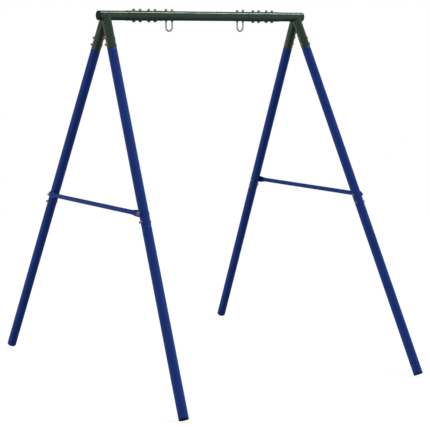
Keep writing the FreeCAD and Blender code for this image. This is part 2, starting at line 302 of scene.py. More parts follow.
def mesh_of(name, parts, sharp):
    """One mesh from (vertices, faces) parts, in model coordinates."""
    vertices = []
    faces = []
    for points, part_faces in parts:
        start = len(vertices)
        vertices.extend(map(tuple, points))
        faces.extend([tuple(i + start for i in face) for face in part_faces])
    mesh = bpy.data.meshes.new(name)
    mesh.from_pydata(vertices, [], faces)
    tidy_mesh(mesh, sharp, MERGE)
    return mesh


def in_scene(name, data):
    """A new object in the scene, with the given mesh or camera."""
    item = bpy.data.objects.new(name, data)
    bpy.context.scene.collection.objects.link(item)
    return item


def tidy_mesh(mesh, sharp, merge):
    """Joins vertices closer than merge, drops faces with no area and turns all faces outwards."""
    work = bmesh.new()
    work.from_mesh(mesh)
    bmesh.ops.remove_doubles(work, verts=work.verts, dist=merge)
    bmesh.ops.dissolve_degenerate(work, edges=work.edges, dist=merge)
    bmesh.ops.recalc_face_normals(work, faces=work.faces)
    work.to_mesh(mesh)
    work.free()
    mesh.shade_smooth()
    mesh.set_sharp_from_angle(angle=math.radians(sharp))


def skin(rings, loop=False):
    """Quads over a stack of closed rings. A loop joins the last ring to the first, and other
    stacks are closed by a fan at both ends."""
    rings = np.asarray(rings, float)
    rows, sides = rings.shape[:2]
    points = list(rings.reshape(-1, 3))
    faces = []
    for row in range(rows if loop else rows - 1):
        upper = (row + 1) % rows
        for i in range(sides):
            j = (i + 1) % sides
            faces.append((row * sides + i, row * sides + j, upper * sides + j, upper * sides + i))
    if not loop:
        for row in (0, rows - 1):
            middle = len(points)
            points.append(rings[row].mean(axis=0))
            faces.extend([(row * sides + i, row * sides + (i + 1) % sides, middle) for i in range(sides)])
    return np.array(points), faces


def turns(sides):
    """Even angles round a circle, in radians."""
    return np.arange(sides) * 2 * math.pi / sides


def stacked(axes, rows, sides, loop=False):
    """Skin over rows of (radius, height) in a local frame; a radius may be an array round the ring."""
    angle = turns(sides)
    rings = []
    for radius, height in rows:
        radius = np.broadcast_to(radius, sides)
        height = np.broadcast_to(height, sides)
        rings.append(np.stack([radius * np.cos(angle), radius * np.sin(angle), height], axis=-1))
    return skin(axes.out(np.array(rings)), loop)


def rounded(corners, closed, steps=ARC_STEPS, support=SUPPORT):
    """Profile through (radius, height, rounding) corners, with arcs, and support rows beside them."""
    result = []
    count = len(corners)
    for i, (r, z, rounding) in enumerate(corners):
        here = np.array([r, z])
        ends = not closed and i in (0, count - 1)
        if rounding <= 0 or ends:
            result.append(here)
            continue
        before = np.array(corners[i - 1][:2]) - here
        after = np.array(corners[(i + 1) % count][:2]) - here
        before_length, after_length = np.linalg.norm(before), np.linalg.norm(after)
        before, after = before / before_length, after / after_length
        half = math.acos(np.clip(before @ after, -1, 1)) / 2
        reach = rounding / math.tan(half)
        centre = here + (before + after) / np.linalg.norm(before + after) * rounding / math.sin(half)
        start, stop = here + before * reach, here + after * reach
        if before_length > reach + 2 * support:
            result.append(start + before * support)
        for k in range(steps + 1):
            t = k / steps
            chord = start * (1 - t) + stop * t - centre
            result.append(centre + chord / np.linalg.norm(chord) * rounding)
        if after_length > reach + 2 * support:
            result.append(stop + after * support)
    return [tuple(point) for point in result]


def with_rows(profile, heights):
    """Adds a row at each height wherever a profile's long straight runs cross it."""
    result = []
    for (r0, z0), (r1, z1) in zip(profile, profile[1:] + profile[:1]):
        result.append((r0, z0))
        low, high = min(z0, z1) + ROW_CLEARANCE, max(z0, z1) - ROW_CLEARANCE
        for h in sorted([h for h in heights if low < h < high], reverse=z1 < z0):
            t = (h - z0) / (z1 - z0)
            result.append((r0 + (r1 - r0) * t, h))
    return result


def drill(piece, cutters, sharp=TUBE_SHARP):
    """Cuts holes through a piece. Each cutter is a (vertices, faces) part."""
    mesh = mesh_of("cutter", cutters, sharp)
    cutter = in_scene("cutter", mesh)
    cut = piece.modifiers.new("holes", "BOOLEAN")
    cut.operation = "DIFFERENCE"
    cut.solver = "EXACT"
    cut.object = cutter
    graph = bpy.context.evaluated_depsgraph_get()
    result = bpy.data.meshes.new_from_object(piece.evaluated_get(graph))
    piece.modifiers.clear()
    piece.data = result
    result.name = piece.name
    tidy_mesh(result, sharp, DRILLED_MERGE)
    bpy.data.objects.remove(cutter)
    bpy.data.meshes.remove(mesh)


def hole_cutter(seat, low, high, radius=HOLE_R):
    """Round cutter along the local Z of a seat."""
    return stacked(seat, [(radius, low), (radius, high)], CUTTER_SIDES)


# ------------------------ tubes

def rows_beside(places):
    """Heights of extra mesh rows beside each hole."""
    return [place + margin for place in places for margin in HOLE_MARGINS]


def tube_piece(name, axes, corners, places, material, support=SUPPORT):
    """Closed tube wall through rounded corners, with mesh rows beside the places of its holes."""
    profile = with_rows(rounded(corners, True, support=support), rows_beside(places))
    part = stacked(axes, profile, TUBE_SIDES, loop=True)
    return new_piece("fine_" + name, [part], material, [name])


def plain_tube(name, axes, low, high, holes, material):
    """Straight tube with rounded cut ends, and bolt holes at the given heights across local X."""
    corners = [(TUBE_R, low, EDGE_ROUND), (TUBE_R, high, EDGE_ROUND),
               (TUBE_BORE_R, high, EDGE_ROUND), (TUBE_BORE_R, low, EDGE_ROUND)]
    piece = tube_piece(name, axes, corners, holes, material)
    drill(piece, [across(axes, place) for place in holes])


def across(axes, place, radius=HOLE_R):
    """Cutter through a tube, along the local X of its frame."""
    seat = Axes(axes.out([0, 0, place]), axes.y, axes.x)
    return hole_cutter(seat, -2 * TUBE_R, 2 * TUBE_R, radius)


def leg_tube(name, axes, joint, holes, stake_hole, material):
    """Leg tube with a swaged top, a smooth shoulder under the joint and a plain bottom end."""
    low, high = span(name, axes)
    swage_r = TUBE_R - SWAGE_STEP
    swage_bore_r = swage_r - TUBE_WALL
    neck = joint + SHOULDER_GAP
    full = neck + SHOULDER_LENGTH
    corners = [(swage_r, low, EDGE_ROUND), (swage_r, neck, SHOULDER_ROUND),
               (TUBE_R, full, SHOULDER_ROUND), (TUBE_R, high, EDGE_ROUND),
               (TUBE_BORE_R, high, EDGE_ROUND), (TUBE_BORE_R, full, SHOULDER_ROUND),
               (swage_bore_r, neck, SHOULDER_ROUND), (swage_bore_r, low, EDGE_ROUND)]
    places = holes + ([stake_hole] if stake_hole else [])
    piece = tube_piece(name, axes, corners, places, material)
    cutters = [across(axes, place) for place in holes]
    if stake_hole:
        stake_r = MOUNTS[name.replace("_lower_leg", "_stake_hole")]["dims"]["r_mm"] / 1000
        cutters.append(across(axes, stake_hole, stake_r))
    drill(piece, cutters)


def socket_start(axes, angle, radius):
    """How far down the leg a socket's wall starts, at an angle round it: on the beam or the mitre."""
    ring = np.array([radius * math.cos(angle), radius * math.sin(angle), 0.0])
    base = axes.out(ring) - axes.origin
    a = axes.z[1] ** 2 + axes.z[2] ** 2
    b = 2 * (base[1] * axes.z[1] + base[2] * axes.z[2])
    c = base[1] ** 2 + base[2] ** 2 - TUBE_R ** 2
    root = b * b - 4 * a * c
    on_beam = (-b + math.sqrt(root)) / (2 * a) if root > 0 else 0.0
    on_mitre = -base[1] / axes.z[1]
    return on_beam, on_mitre


def leg_socket(name, axes, holes, material):
    """Tube stub, coped round the beam and mitred against the stub of the other leg."""
    low, high = span(name, axes)
    angles = turns(TUBE_SIDES)
    heights = [SOCKET_ROW] + sorted(rows_beside(holes))

    def level(radius, height):
        return [[radius * math.cos(a), radius * math.sin(a), height] for a in angles]

    def coped(radius):
        starts = [max(low, *socket_start(axes, a, radius)) for a in angles]
        return [[radius * math.cos(a), radius * math.sin(a), start] for a, start in zip(angles, starts)]

    lip = rounded([(TUBE_R, high - SOCKET_LIP, 0), (TUBE_R, high, EDGE_ROUND),
                   (TUBE_BORE_R, high, EDGE_ROUND), (TUBE_BORE_R, high - SOCKET_LIP, 0)], False)
    rings = [coped(TUBE_R)]
    rings += [level(TUBE_R, height) for height in heights]
    rings += [level(radius, height) for radius, height in lip]
    rings += [level(TUBE_BORE_R, height) for height in reversed(heights)]
    rings.append(coped(TUBE_BORE_R))
    part = skin(axes.out(np.array(rings)), loop=True)
    piece = new_piece("fine_" + name, [part], material, [name])
    drill(piece, [across(axes, place) for place in holes])


def bead(points):
    """Weld bead along points: a round string with ripples and tapered ends."""
    points = np.array(points)
    steps = np.linalg.norm(np.diff(points, axis=0), axis=1)
    run = np.concatenate([[0], np.cumsum(steps)])
    even = np.linspace(0, run[-1], int(run[-1] / WELD_STEP))
    path = np.stack([np.interp(even, run, points[:, k]) for k in range(3)], axis=-1)
    tangent = np.gradient(path, axis=0)
    tangent /= np.linalg.norm(tangent, axis=1)[:, None]
    side = np.cross(tangent[0], UP)
    angle = turns(WELD_SIDES)
    rings = []
    for place, direction, at in zip(path, tangent, even):
        side = side - direction * (side @ direction)
        side /= np.linalg.norm(side)
        other = np.cross(direction, side)
        ripple = abs(math.sin(math.pi * at / WELD_RIPPLE))
        taper = min(1.0, (WELD_TIP + min(at, even[-1] - at)) / WELD_TAPER)
        radius = WELD_R * (WELD_VALLEY + WELD_CREST * ripple) * math.sqrt(taper)
        rings.append(place + radius * (np.cos(angle)[:, None] * side + np.sin(angle)[:, None] * other))
    return skin(rings)


def apex_welds(side_name, material):
    """Beads where both sockets of an A-frame meet the beam, and along the mitre between them."""
    parts = []
    for end_name in ENDS:
        axes = leg_axes(side_name, end_name)
        low, _ = span(side_name + "_" + end_name + "_leg_socket", axes)
        on_beam = []
        on_mitre = []
        for angle in np.linspace(-math.pi, math.pi, WELD_POINTS):
            beam_height, mitre_height = socket_start(axes, angle, TUBE_R)
            height = max(low, beam_height, mitre_height)
            point = axes.out([TUBE_R * math.cos(angle), TUBE_R * math.sin(angle), height])
            if mitre_height >= beam_height and mitre_height > low:
                on_mitre.append((angle, point))
            else:
                on_beam.append((angle, point))
        parts.append(bead([point for _, point in unwrapped(on_beam)]))
        if end_name == "front":
            parts.append(bead([point for _, point in unwrapped(on_mitre)]))
    new_piece(side_name + "_apex_welds", parts, material, [])


def unwrapped(entries):
    """Entries round a tube in running order, starting after their largest gap."""
    gaps = [(entries[i][0] - entries[i - 1][0]) % (2 * math.pi) for i in range(len(entries))]
    start = int(np.argmax(gaps))
    return entries[start:] + entries[:start]


def coupling_sleeve(name, holes, material):
    """Sleeve over a beam joint, with a rolled rim at both ends."""
    middle, half = box_middle(name)
    axes = Axes([middle[0], 0, BEAM_Z], UP, ALONG_X)
    rim_r = half[2]
    body_r = rim_r - RIM_HEIGHT
    bore_r = TUBE_R + SLEEVE_BORE_GAP
    end = half[0]
    rim_end = end - RIM_LENGTH
    body_end = rim_end - RIM_SLOPE
    corners = [(bore_r, -end, SLEEVE_BORE_ROUND), (rim_r, -end, RIM_ROUND), (rim_r, -rim_end, RIM_ROUND),
               (body_r, -body_end, RIM_ROUND), (body_r, body_end, RIM_ROUND),
               (rim_r, rim_end, RIM_ROUND), (rim_r, end, RIM_ROUND), (bore_r, end, SLEEVE_BORE_ROUND)]
    places = [x - middle[0] for x in holes]
    piece = tube_piece(name, axes, corners, places, material, SLEEVE_SUPPORT)
    drill(piece, [across(axes, place) for place in places])


# ------------------------ crossbars

def pinched_section(half_thickness, bar_r, half_width):
    """Ring of (thickness, width) points, evenly spaced round a tube pressed to half_thickness."""
    pressed_width = half_thickness + math.pi * (bar_r - half_thickness) / 2
    straight = 2 * max(0.0, min(half_width, pressed_width) - half_thickness)
    fold = min(half_thickness, half_width)
    first_fold = straight / 2
    far_side = first_fold + math.pi * fold
    second_fold = far_side + straight
    near_side = second_fold + math.pi * fold
    around = near_side + straight / 2
    ring = []
    for i in range(BAR_SIDES):
        at = around * i / BAR_SIDES
        if at < first_fold:
            ring.append((fold, at))
        elif at < far_side:
            turn = (at - first_fold) / fold
            ring.append((fold * math.cos(turn), straight / 2 + fold * math.sin(turn)))
        elif at < second_fold:
            ring.append((-fold, straight / 2 - (at - far_side)))
        elif at < near_side:
            turn = math.pi + (at - second_fold) / fold
            ring.append((fold * math.cos(turn), -straight / 2 + fold * math.sin(turn)))
        else:
            ring.append((fold, at - around))
    return ring


def crossbar_sections(bolt_y, flat_r, bar_r):
    """(place along Y, half thickness, half width) of sections from one tip of a bar to the other."""
    flat_end = bolt_y - PINCH_REACH
    round_end = flat_end - PINCH_TAPER
    widest = 2 * bar_r
    half = []
    for turn in np.linspace(PINCH_TIP, 0, TIP_ROWS):
        y = bolt_y + flat_r * math.sin(math.radians(turn))
        half.append((y, PINCH_HALF, flat_r * math.cos(math.radians(turn))))
    for y in (bolt_y - PINCH_BOLT_ROW, flat_end + PINCH_LAST_ROW):
        half.append((y, PINCH_HALF, flat_r))
    for t in np.linspace(0, 1, TAPER_ROWS):
        ease = t * t * (3 - 2 * t)
        half.append((flat_end - PINCH_TAPER * t, PINCH_HALF + (bar_r - PINCH_HALF) * ease, widest))
    for y in np.linspace(round_end - PINCH_ROUND_ROW, 0.0, HALF_BAR_ROWS):
        half.append((y, bar_r, widest))
    return half + [(-y, thickness, width) for y, thickness, width in reversed(half[:-1])]


def crossbar(side_name, material):
    """Round tube whose ends are pinched flat, with rounded tips, seated on the leg tubes."""
    name = side_name + "_crossbar"
    rear_leg = leg_axes(side_name, "rear")
    outward = rear_leg.x
    upward = np.cross(outward, ALONG_Y)
    upward = upward if upward[2] > 0 else -upward
    bolts = node_solids(side_name + "_crossbar_bolts")
    bolt_y = max(abs(points[:, 1].min() + points[:, 1].max()) / 2 for points in bolts)
    flat_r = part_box(name)[1][1] - bolt_y
    bar_r = (flat_r * 2 - 2 * PINCH_HALF) / math.pi + PINCH_HALF
    on_leg = rear_leg.out([0, 0, bolt_y / rear_leg.z[1]])
    centre = np.array([on_leg[0], 0, on_leg[2]]) + outward * (TUBE_R + PINCH_HALF)
    rings = []
    for y, half_thickness, half_width in crossbar_sections(bolt_y, flat_r, bar_r):
        half_width = max(half_width, half_thickness * PINCH_LEAST_WIDTH)
        ring = pinched_section(half_thickness, bar_r, half_width)
        rings.append([centre + ALONG_Y * y + outward * a + upward * b for a, b in ring])
    piece = new_piece("fine_" + name, [skin(rings)], material, [name], BAR_SHARP)
    cutters = []
    for sign in ENDS.values():
        seat = Axes(centre + ALONG_Y * sign * bolt_y, ALONG_Y, outward)
        cutters.append(hole_cutter(seat, -BAR_CUTTER_HALF, BAR_CUTTER_HALF))
    drill(piece, cutters, BAR_SHARP)


# ------------------------ hardware

def thread_rows(low, tip):
    """Rows of (radii, height) of a screw thread from low to a chamfered tip."""
    angle = turns(THREAD_SIDES) / (2 * math.pi)
    root_r = BOLT_R - THREAD_DEPTH
    rows = []
    for height in np.arange(low, tip - THREAD_END_GAP, THREAD_PITCH / ROWS_PER_PITCH):
        wave = np.abs(2 * ((height / THREAD_PITCH - angle) % 1.0) - 1)
        valley = np.clip(THREAD_STEEPNESS * wave - THREAD_CREST, 0, 1)
        depth = THREAD_DEPTH * min(1.0, (height - low) / (2 * THREAD_PITCH))
        chamfer_r = root_r - THREAD_ROOT_GAP + tip - height
        rows.append((np.minimum(BOLT_R - depth * valley, chamfer_r), height))
    rows.append((root_r - 2 * THREAD_ROOT_GAP, tip))
    return rows


def square_ring():
    """Radii round a square neck with rounded corners."""
    angle = turns(THREAD_SIDES)
    reach = NECK_HALF / np.maximum(np.abs(np.cos(angle)), np.abs(np.sin(angle)))
    return np.minimum(reach, NECK_HALF * math.sqrt(2) - NECK_ROUND)


def carriage_bolt(seat, length, head_height):
    """Bolt whose domed head starts at the seat's origin and whose thread ends at its length."""
    dome = head_height - HEAD_RIM
    dome_r = (HEAD_R ** 2 + dome ** 2) / (2 * dome)
    widest = math.asin(HEAD_R / dome_r)
    neck_end = head_height + NECK_LENGTH
    thread = length - THREAD_SHOWING
    square = square_ring()
    shank_r = BOLT_R - SHANK_GAP
    rows = []
    for turn in np.linspace(*HEAD_ROWS, DOME_ROWS) * widest:
        rows.append((dome_r * math.sin(turn), dome_r * (1 - math.cos(turn))))
    rows += [(HEAD_R - HEAD_BULGE[0], dome - HEAD_BULGE[1]), (HEAD_R, dome + HEAD_EDGE),
             (HEAD_R, head_height - HEAD_EDGE), (HEAD_R - HEAD_EDGE, head_height),
             (HEAD_FLAT_R, head_height), (square, head_height), (square, neck_end - NECK_ROUND),
             (shank_r, neck_end), (shank_r, neck_end + SHANK_START), (shank_r, thread - SHANK_RUN_OUT)]
    return stacked(seat, rows + thread_rows(thread, length), THREAD_SIDES)


def hex_nut(seat, height):
    """Hexagon nut from the seat's origin, with chamfered corners and a countersunk bore."""
    within = (turns(NUT_SIDES) + math.pi / 6) % (math.pi / 3) - math.pi / 6
    hexagon = np.minimum(NUT_FLATS / 2 / np.cos(within), NUT_FLATS / math.sqrt(3) * NUT_CORNER)
    crown_r = NUT_FLATS / 2 * NUT_CROWN
    shoulder = height - (hexagon - crown_r) * math.tan(math.radians(NUT_CHAMFER))
    half = [(NUT_BORE_R, height / 2),
            (NUT_BORE_R, height - NUT_SINK),
            (NUT_BORE_R + NUT_SINK, height - NUT_SOFT),
            (NUT_BORE_R + NUT_SINK + NUT_SOFT, height),
            (crown_r - NUT_SOFT, height),
            (hexagon - NUT_SOFT, shoulder + NUT_SOFT * 0.2),
            (hexagon, shoulder - NUT_SOFT),
            (hexagon, height / 2)]
    mirrored = [(radius, height - z) for radius, z in reversed(half[1:-1])]
    return stacked(seat, half + mirrored, NUT_SIDES, loop=True)


def washer(seat, thickness):
    """Flat washer from the seat's origin, rounded more on its far face."""
    near_round, far_round, far_bore_round, near_bore_round = WASHER_ROUNDS
    corners = [(WASHER_R, 0, near_round), (WASHER_R, thickness, far_round),
               (WASHER_HOLE_R, thickness, far_bore_round), (WASHER_HOLE_R, 0, near_bore_round)]
    profile = rounded(corners, True, WASHER_ARC_STEPS, WASHER_SUPPORT)
    return stacked(seat, profile, WASHER_SIDES, loop=True)


def hanger_u_bolt(side_name, material):
    """Threaded U-bolt: straight legs through the beam and a half-round loop below it."""
    name = side_name + "_hanger_u_bolt"
    middle, half = box_middle(name)
    low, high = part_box(name)
    bend_r = half[0] - BOLT_R
    bend_z = low[2] + BOLT_R + bend_r
    top = high[2]
    thread_start = top - TUBE_R * 2 - U_BOLT_THREAD
    thread = thread_rows(thread_start, top)
    angle = turns(THREAD_SIDES)

    def ring(x, z, sideways, radii=BOLT_R):
        radii = np.broadcast_to(radii, THREAD_SIDES)[:, None]
        centre = np.array([x, 0, z])
        return centre + radii * (np.cos(angle)[:, None] * sideways + np.sin(angle)[:, None] * ALONG_Y)

    left = middle[0] - bend_r
    right = middle[0] + bend_r
    rings = [ring(left, height, ALONG_X, radii) for radii, height in reversed(thread)]
    rings.append(ring(left, thread_start - SHANK_START, ALONG_X))
    for turn in np.linspace(0, math.pi, U_BEND_ROWS):
        outward = np.array([math.cos(turn), 0, math.sin(turn)])
        rings.append(ring(middle[0] - bend_r * outward[0], bend_z - bend_r * outward[2], outward))
    rings.append(ring(right, thread_start - SHANK_START, -ALONG_X))
    rings += [ring(right, height, -ALONG_X, radii) for radii, height in thread]
    new_piece("fine_" + name, [skin(rings)], material, [name], HARDWARE_SHARP)


# ------------------------ caps

def end_plug(name, axes, flange, edge_round, material):
    """Cap from its outer face at local z = 0: flange with a rounded edge, and a hollow plug."""
    plug_r = TUBE_BORE_R - PLUG_GAP
    hollow_r = plug_r - PLUG_WALL
    deep = flange + PLUG_LENGTH
    corners = [(TUBE_R * share, depth, rounding) for share, depth, rounding in CAP_FACE]
    corners += [(TUBE_R, 0, edge_round), (TUBE_R, flange, FLANGE_ROUND),
                (plug_r, flange, PLUG_ROOT_ROUND), (plug_r, deep, PLUG_ROUND),
                (hollow_r, deep, PLUG_ROUND), (hollow_r, flange, PLUG_FLOOR_ROUND), (0, flange, 0)]
    profile = rounded(corners, False, CAP_ARC_STEPS, CAP_SUPPORT)
    without_axis = profile[1:-1]
    new_piece("fine_" + name, [stacked(axes, without_axis, TUBE_SIDES)], material, [name])


# ------------------------ finishes

class Nodes:
    """Short names for building one material's node tree."""

    def __init__(self, name):
        self.material = bpy.data.materials.new(name)
        self.material.use_nodes = True
        self.tree = self.material.node_tree
        self.shader = self.tree.nodes["Principled BSDF"]
        self.place = self.tree.nodes.new("ShaderNodeTexCoord").outputs["Object"]

    def add(self, kind, **values):
        node = self.tree.nodes.new(kind)
        for key, value in values.items():
            setattr(node, key, value)
        return node

    def link(self, source, target):
        self.tree.links.new(source, target)

    def noise(self, scale, detail=2.0, roughness=0.5, place=None):
        node = self.add("ShaderNodeTexNoise")
        node.inputs["Scale"].default_value = scale
        node.inputs["Detail"].default_value = detail
        node.inputs["Roughness"].default_value = roughness
        self.link(place or self.place, node.inputs["Vector"])
        return node.outputs["Fac"]

    def spread(self, source, low, high, out_low=0.0, out_high=1.0):
        node = self.add("ShaderNodeMapRange", interpolation_type="SMOOTHSTEP")
        limits = {"From Min": low, "From Max": high, "To Min": out_low, "To Max": out_high}
        for key, value in limits.items():
            node.inputs[key].default_value = value
        self.link(source, node.inputs["Value"])
        return node.outputs["Result"]

    def times(self, a, b):
        node = self.add("ShaderNodeMath", operation="MULTIPLY")
        self.link(a, node.inputs[0])
        self.link(b, node.inputs[1])
        return node.outputs["Value"]

    def mix(self, factor, a, b):
        """Colour between a and b, each a colour value or a socket."""
        node = self.add("ShaderNodeMix", data_type="RGBA")
        self.link(factor, node.inputs["Factor"])
        for socket, value in ((node.inputs[6], a), (node.inputs[7], b)):
            if isinstance(value, tuple):
                socket.default_value = (*value, 1.0)
            else:
                self.link(value, socket)
        return node.outputs[2]

    def bump(self, height, distance, strength=1.0, normal=None):
        node = self.add("ShaderNodeBump")
        node.inputs["Distance"].default_value = distance
        node.inputs["Strength"].default_value = strength
        self.link(height, node.inputs["Height"])
        if normal is not None:
            self.link(normal, node.inputs["Normal"])
        return node.outputs["Normal"]

    def edges(self, radius, low, high):
        """1 on edges sharper than their surroundings, 0 on smooth faces."""
        bevel = self.add("ShaderNodeBevel", samples=6)
        bevel.inputs["Radius"].default_value = radius
        plain = self.add("ShaderNodeNewGeometry").outputs["Normal"]
        dot = self.add("ShaderNodeVectorMath", operation="DOT_PRODUCT")
        self.link(bevel.outputs["Normal"], dot.inputs[0])
        self.link(plain, dot.inputs[1])
        return self.spread(dot.outputs["Value"], low, high, 1.0, 0.0)


def scaled(colour, factor):
    """A colour made lighter or darker."""
    return tuple(min(1.0, channel * factor) for channel in colour)


def powder_coat(name, colour, roughness, metallic, specular, tint):
    """Baked powder paint: orange peel, slight tone drift, a thin worn line on sharp edges."""
    nodes = Nodes(name)
    drift = nodes.spread(nodes.noise(9.0, 3.0), 0.3, 0.7)
    tone = nodes.mix(drift, scaled(colour, 0.93), scaled(colour, 1.07))
    speck = nodes.spread(nodes.noise(2600.0, 1.0), 0.60, 0.74)
    patches = nodes.spread(nodes.noise(40.0), 0.35, 0.65, 0.1, 0.45)
    tone = nodes.mix(nodes.times(speck, patches), tone, scaled(colour, 1.45))
    chips = nodes.spread(nodes.noise(420.0, 4.0, 0.65), 0.50, 0.62)
    worn = nodes.times(nodes.edges(0.0007, 0.80, 0.97), chips)
    tone = nodes.mix(worn, tone, (0.34, 0.34, 0.33))
    rough = nodes.spread(nodes.noise(55.0, 4.0), 0.3, 0.7, roughness - 0.05, roughness + 0.06)
    peel = nodes.bump(nodes.noise(620.0, 1.5), 0.00009, 0.33)
    grain = nodes.bump(nodes.noise(2400.0, 1.0), 0.00002, 0.25, peel)
    nodes.link(tone, nodes.shader.inputs["Base Color"])
    nodes.link(rough, nodes.shader.inputs["Roughness"])
    nodes.link(grain, nodes.shader.inputs["Normal"])
    nodes.shader.inputs["Metallic"].default_value = metallic
    nodes.shader.inputs["Specular IOR Level"].default_value = specular
    nodes.shader.inputs["Specular Tint"].default_value = (*tint, 1.0)
    return nodes.material


def green_paint():
    """Dark green of the beam and the leg sockets, with a metallic share that keeps its shine."""
    return powder_coat("green_powder_coat", (0.071, 0.108, 0.080), 0.20,
                       metallic=0.55, specular=0.3, tint=(0.68, 0.80, 0.73))


def blue_paint():
    """Blue of the legs and crossbars."""
    return powder_coat("blue_powder_coat", (0.026, 0.065, 0.324), 0.35,
                       metallic=0.35, specular=0.15, tint=(0.25, 0.38, 1.0))


def zinc_plate(name, shine, roughness):
    """Zinc plate: mottled grey with fine scratches and faint yellow passivation."""
    # shine scales every colour here; the bolts' copy at 0.5 is darker, painted shade for heads that sit
    # under the beam and inside the A-frames.
    nodes = Nodes(name)
    mottle = nodes.spread(nodes.noise(260.0, 4.0, 0.6), 0.32, 0.68)
    tone = nodes.mix(mottle, scaled((0.46, 0.465, 0.48), shine), scaled((0.69, 0.69, 0.685), shine))
    tint = nodes.spread(nodes.noise(70.0, 2.0), 0.55, 0.75, 0.0, 0.35)
    tone = nodes.mix(tint, tone, scaled((0.60, 0.55, 0.44), shine))
    rubbed = nodes.times(nodes.edges(0.0004, 0.78, 0.96), nodes.spread(nodes.noise(900.0), 0.4, 0.6))
    tone = nodes.mix(rubbed, tone, scaled((0.86, 0.86, 0.87), shine))
    rough = nodes.spread(nodes.noise(420.0, 3.0), 0.3, 0.7, roughness - 0.10, roughness + 0.10)
    stretch = nodes.add("ShaderNodeMapping")
    stretch.inputs["Scale"].default_value = (1.0, 1.0, 0.08)
    nodes.link(nodes.place, stretch.inputs["Vector"])
    scratches = nodes.noise(3200.0, 2.0, place=stretch.outputs["Vector"])
    nodes.link(tone, nodes.shader.inputs["Base Color"])
    nodes.link(rough, nodes.shader.inputs["Roughness"])
    nodes.link(nodes.bump(scratches, 0.00003, 0.5), nodes.shader.inputs["Normal"])
    nodes.shader.inputs["Metallic"].default_value = 1.0
    return nodes.material


def black_plastic():
    """Moulded polyethylene: fine grain, scuffed paler on the edges."""
    nodes = Nodes("black_plastic")
    drift = nodes.spread(nodes.noise(30.0, 3.0), 0.3, 0.7)
    tone = nodes.mix(drift, (0.003, 0.003, 0.0035), (0.007, 0.007, 0.008))
    scuffs = nodes.spread(nodes.noise(160.0, 5.0, 0.7), 0.48, 0.66)
    tone = nodes.mix(nodes.times(nodes.edges(0.0016, 0.75, 0.98), scuffs), tone, (0.050, 0.050, 0.049))
    rough = nodes.spread(nodes.noise(90.0, 3.0), 0.3, 0.7, 0.42, 0.60)
    grain = nodes.bump(nodes.noise(1500.0, 3.0), 0.00006, 0.6)
    nodes.link(tone, nodes.shader.inputs["Base Color"])
    nodes.link(rough, nodes.shader.inputs["Roughness"])
    nodes.link(grain, nodes.shader.inputs["Normal"])
    nodes.shader.inputs["Specular IOR Level"].default_value = 0.12
    return nodes.material


# ------------------------ the stand

def beam(green, black, zinc):
    """Beam tubes, sleeves and end caps, and the hardware that stands upright in the beam."""
    axes = Axes([0, 0, BEAM_Z], UP, ALONG_X)
    upright = Axes([0, 0, 0], ALONG_X, UP)
    bolt_x = {}
    hanger_x = []
    for name in SIDES:
        bolt_x[name] = [points[:, 0].mean() for points in node_solids(name + "_beam_joint_nuts")]
        hanger_x += [points[:, 0].mean() for points in node_solids(name + "_hanger_nuts")]
    reach = BEAM_HALF[0]
    inner_x = [x for name in SIDES for x in bolt_x[name] if abs(x) < reach]
    plain_tube("middle_beam_tube", axes, -reach, reach, inner_x + hanger_x, green)
    for name, side in SIDES.items():
        low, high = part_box(name + "_beam_tube")
        holes = [x for x in bolt_x[name] if low[0] < x < high[0]]
        plain_tube(name + "_beam_tube", axes, low[0], high[0], holes, green)
        coupling_sleeve(name + "_coupling_sleeve", bolt_x[name], green)
        cap_low, cap_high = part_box(name + "_beam_end_cap")
        face = cap_low[0] if side < 0 else cap_high[0]
        cap_axes = Axes([face, 0, BEAM_Z], ALONG_Y, ALONG_X * -side)
        end_plug(name + "_beam_end_cap", cap_axes, BEAM_CAP_FLANGE, BEAM_CAP_ROUND, black)
        hanger_u_bolt(name, zinc["bright"])
        fastener_set(name, "hanger", [upright], zinc)
        fastener_set(name, "beam_joint", [upright], zinc)


def fastener(kind, seat, local):
    """One bolt, nut or washer on its seat, sized from its CAD points in the seat's directions."""
    low, high = local.min(axis=0), local.max(axis=0)
    size = high[2] - low[2]
    if kind == "bolts":
        offset = local - (low + high) / 2
        on_rim = np.hypot(offset[:, 0], offset[:, 1]) > HEAD_R * ON_HEAD
        head_height = local[on_rim][:, 2].max() - low[2]
        return carriage_bolt(seat, size, head_height)
    if kind == "washers":
        return washer(seat, size)
    return hex_nut(seat, size)


def fastener_set(side_name, group, axes_list, zinc):
    """Bolts, nuts and washers of one group. Each solid takes the frame nearest to it along Y."""
    for kind in ("bolts", "nuts", "jam_nuts", "washers"):
        node = side_name + "_" + group + "_" + kind
        if node not in frame["nodes"]:
            continue
        parts = []
        for points in node_solids(node):
            middle_y = (points[:, 1].min() + points[:, 1].max()) / 2
            distances = [abs(axes.origin[1] - middle_y) for axes in axes_list]
            axes = axes_list[int(np.argmin(distances))]
            local = axes.back(points)
            low, high = local.min(axis=0), local.max(axis=0)
            seat = axes.moved([(low[0] + high[0]) / 2, (low[1] + high[1]) / 2, low[2]])
            parts.append(fastener(kind, seat, local))
        # Bolts take the zinc at half lightness, painted shade for their heads under the beam and on the
        # inner faces of the legs; nuts and washers keep the plain zinc.
        finish = zinc["shade_painted"] if kind == "bolts" else zinc["bright"]
        new_piece("fine_" + node, parts, finish, [node], HARDWARE_SHARP)


def bolt_places(side_name, group, axes):
    """Heights along one leg of a group's bolts, from the nuts that lie on that leg."""
    middles = [axes.back(points).mean(axis=0) for points in node_solids(side_name + "_" + group + "_nuts")]
    return [middle[2] for middle in middles if abs(middle[1]) < TUBE_R]


